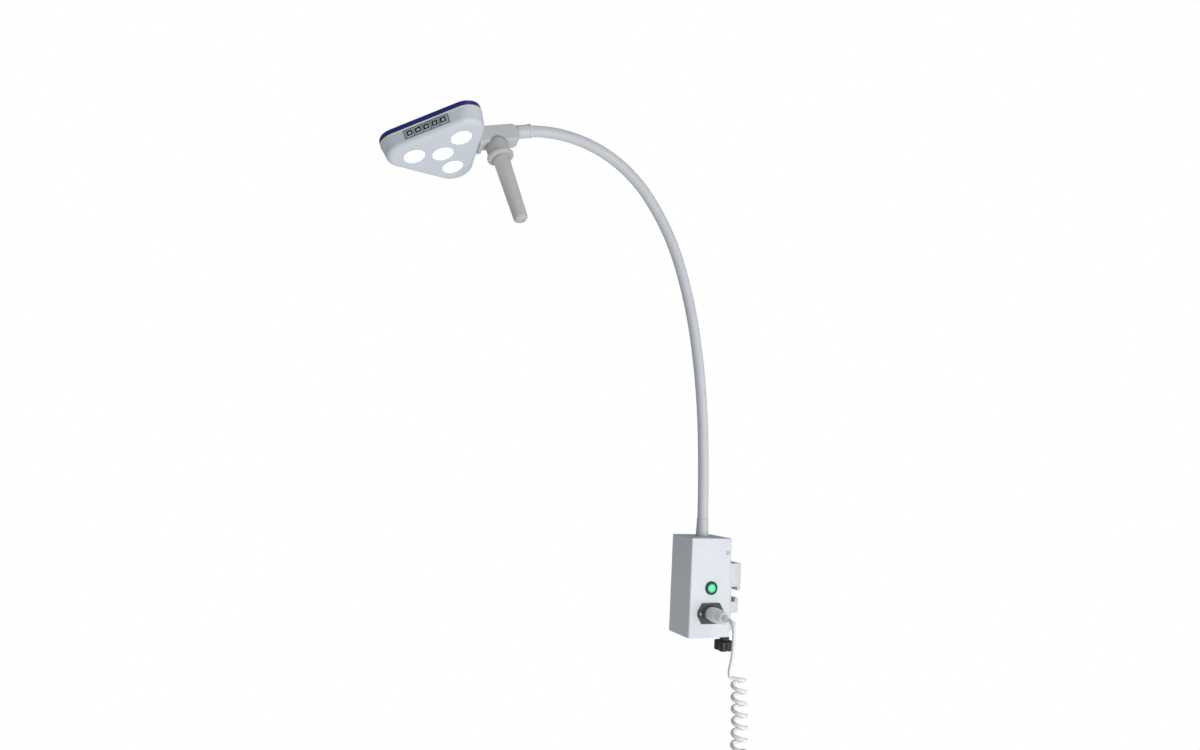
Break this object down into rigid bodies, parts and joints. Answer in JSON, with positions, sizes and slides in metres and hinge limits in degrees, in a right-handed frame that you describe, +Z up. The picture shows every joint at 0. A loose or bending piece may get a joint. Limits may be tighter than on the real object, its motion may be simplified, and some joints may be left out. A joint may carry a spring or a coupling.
{
  "type": "surgical light",
  "caption": "Rail-clamped minor-surgery lamp: supply case, bendable gooseneck, removable handle and rounded triangular LED head on a pull-out mains lead.",
  "frame": {"origin": "middle of the clamp pad, where the equipment rail's front face rests", "axes": "+X along the rail to the switch side, +Y through the rail to the wall, +Z up"},
  "size_m": [0.2083, 0.6405, 1.2054],
  "materials": {
    "white_paint": "satin powder coat",
    "clamp_paint": "satin powder coat",
    "white_sleeve": "satin silicone",
    "head_plastic": "fine satin moulding",
    "blue_plastic": "gloss",
    "cream_rubber": "satin",
    "lens_clear": "clear polycarbonate, lit",
    "handle_grey": "satin",
    "hub_grey": "satin",
    "black_plastic": "fine texture",
    "inlet_plastic": "fine texture",
    "green_cap": "translucent, lit",
    "keypad_blue": "membrane film",
    "key_film": "membrane film",
    "steel": "zinc plated",
    "core_steel": "oiled spring steel",
    "aluminium": "brushed",
    "brass": "nickelled brass",
    "pcb_green": "solder mask",
    "pcb_white": "white solder mask",
    "module_black": "potted",
    "led_yellow": "phosphor",
    "pad_rubber": "ribbed",
    "plug_grey": "satin moulding",
    "cord_white": "satin",
    "reflector": "metallised"
  },
  "bodies": {
    "case": {"clamp_body": "clamp_paint", "clamp_pad": "pad_rubber", "clamp_bolts": "steel", "case_shell": "white_paint", "case_chassis": "white_paint", "case_screws": "steel", "supply_board": "pcb_green", "power_module": "module_black", "board_standoffs": "brass", "switch_housing": "black_plastic", "inlet_housing": "inlet_plastic", "inlet_pins": "brass", "inlet_screws": "steel", "neck_socket": "steel", "neck_nut": "steel", "neck_boot": "white_sleeve", "sleeve_1": "white_sleeve", "core_1": "core_steel"},
    "jaw": {"clamp_jaw": "clamp_paint"},
    "knob": {"clamp_screw": "steel", "clamp_knob": "black_plastic"},
    "switch": {"switch_cap": "green_cap"},
    "lead": {"line_connector": "plug_grey", "cord_relief": "plug_grey", "cord_lead": "cord_white", "cord_coil": "cord_white", "cord_tail": "cord_white", "mains_plug": "cord_white"},
    "neck_2": {"sleeve_2": "white_sleeve", "core_2": "core_steel"},
    "neck_3": {"sleeve_3": "white_sleeve", "core_3": "core_steel"},
    "neck_4": {"sleeve_4": "white_sleeve", "core_4": "core_steel"},
    "neck_5": {"sleeve_5": "white_sleeve", "core_5": "core_steel"},
    "neck_6": {"sleeve_6": "white_sleeve", "core_6": "core_steel", "neck_ferrule": "white_sleeve"},
    "head": {"swivel_screw": "steel", "bracket": "white_paint", "bracket_screws": "steel", "handle_hub": "hub_grey", "head_shell": "head_plastic", "head_gasket": "cream_rubber", "head_cover": "blue_plastic", "lenses": "lens_clear", "collimators": "reflector", "led_chips": "led_yellow", "led_board": "pcb_white", "heat_sink": "aluminium", "cover_screws": "steel", "keypad_plate": "keypad_blue"},
    "handle": {"handle_flange": "handle_grey", "handle_grip": "handle_grey"},
    "key_1": {"key_1": "key_film"},
    "key_2": {"key_2": "key_film"},
    "key_3": {"key_3": "key_film"},
    "key_4": {"key_4": "key_film"},
    "key_5": {"key_5": "key_film"}
  },
  "joints": [
    {"name": "jaw_slide", "type": "slide", "parent": "case", "child": "jaw", "axis": [0, 0, -1], "range_m": [0, 0.012]},
    {"name": "knob_turn", "type": "hinge", "parent": "jaw", "child": "knob", "pos_m": [0, 0.005, -0.08], "axis": [0, 0, -1], "range_deg": [0, 3460]},
    {"name": "switch_press", "type": "slide", "parent": "case", "child": "switch", "axis": [-1, 0, 0], "range_m": [0, 0.002], "stiffness_N_per_m": 600, "springref_m": -0.0005},
    {"name": "lead_pull", "type": "slide", "parent": "case", "child": "lead", "axis": [1, 0, 0], "range_m": [0, 0.03]},
    {"name": "neck_bend_1", "type": "hinge", "parent": "case", "child": "neck_2", "pos_m": [0, -0.05193, 0.26286], "axis": [1, 0, 0], "range_deg": [-20, 20]},
    {"name": "neck_sway_1", "type": "hinge", "parent": "neck_2", "child": "neck_3", "pos_m": [0, -0.07557, 0.43107], "axis": [0, 0.9781, 0.2079], "range_deg": [-20, 20]},
    {"name": "neck_bend_2", "type": "hinge", "parent": "neck_3", "child": "neck_4", "pos_m": [0, -0.11207, 0.55046], "axis": [1, 0, 0], "range_deg": [-20, 20]},
    {"name": "neck_sway_2", "type": "hinge", "parent": "neck_4", "child": "neck_5", "pos_m": [0, -0.17708, 0.65655], "axis": [0, 0.7547, 0.6561], "range_deg": [-20, 20]},
    {"name": "neck_bend_3", "type": "hinge", "parent": "neck_5", "child": "neck_6", "pos_m": [0, -0.28106, 0.72279], "axis": [1, 0, 0], "range_deg": [-20, 20]},
    {"name": "head_swivel", "type": "hinge", "parent": "neck_6", "child": "head", "pos_m": [0, -0.40444, 0.72279], "axis": [0, -0.9613, -0.2756], "range_deg": [-90, 90]},
    {"name": "handle_pull", "type": "slide", "parent": "head", "child": "handle", "axis": [0.2924, 0.2636, -0.9193], "range_m": [0, 0.045]},
    {"name": "key_1_press", "type": "slide", "parent": "head", "child": "key_1", "axis": [-0.8282, 0.5504, -0.1056], "range_m": [0, 0.0005], "stiffness_N_per_m": 900, "springref_m": -0.0003},
    {"name": "key_2_press", "type": "slide", "parent": "head", "child": "key_2", "axis": [-0.8282, 0.5504, -0.1056], "range_m": [0, 0.0005], "stiffness_N_per_m": 900, "springref_m": -0.0003},
    {"name": "key_3_press", "type": "slide", "parent": "head", "child": "key_3", "axis": [-0.8282, 0.5504, -0.1056], "range_m": [0, 0.0005], "stiffness_N_per_m": 900, "springref_m": -0.0003},
    {"name": "key_4_press", "type": "slide", "parent": "head", "child": "key_4", "axis": [-0.8282, 0.5504, -0.1056], "range_m": [0, 0.0005], "stiffness_N_per_m": 900, "springref_m": -0.0003},
    {"name": "key_5_press", "type": "slide", "parent": "head", "child": "key_5", "axis": [-0.8282, 0.5504, -0.1056], "range_m": [0, 0.0005], "stiffness_N_per_m": 900, "springref_m": -0.0003}
  ],
  "couplings": [
    {"joint": "knob_turn", "follows": "jaw_slide", "rad_per_m": 5026.5}
  ]
}
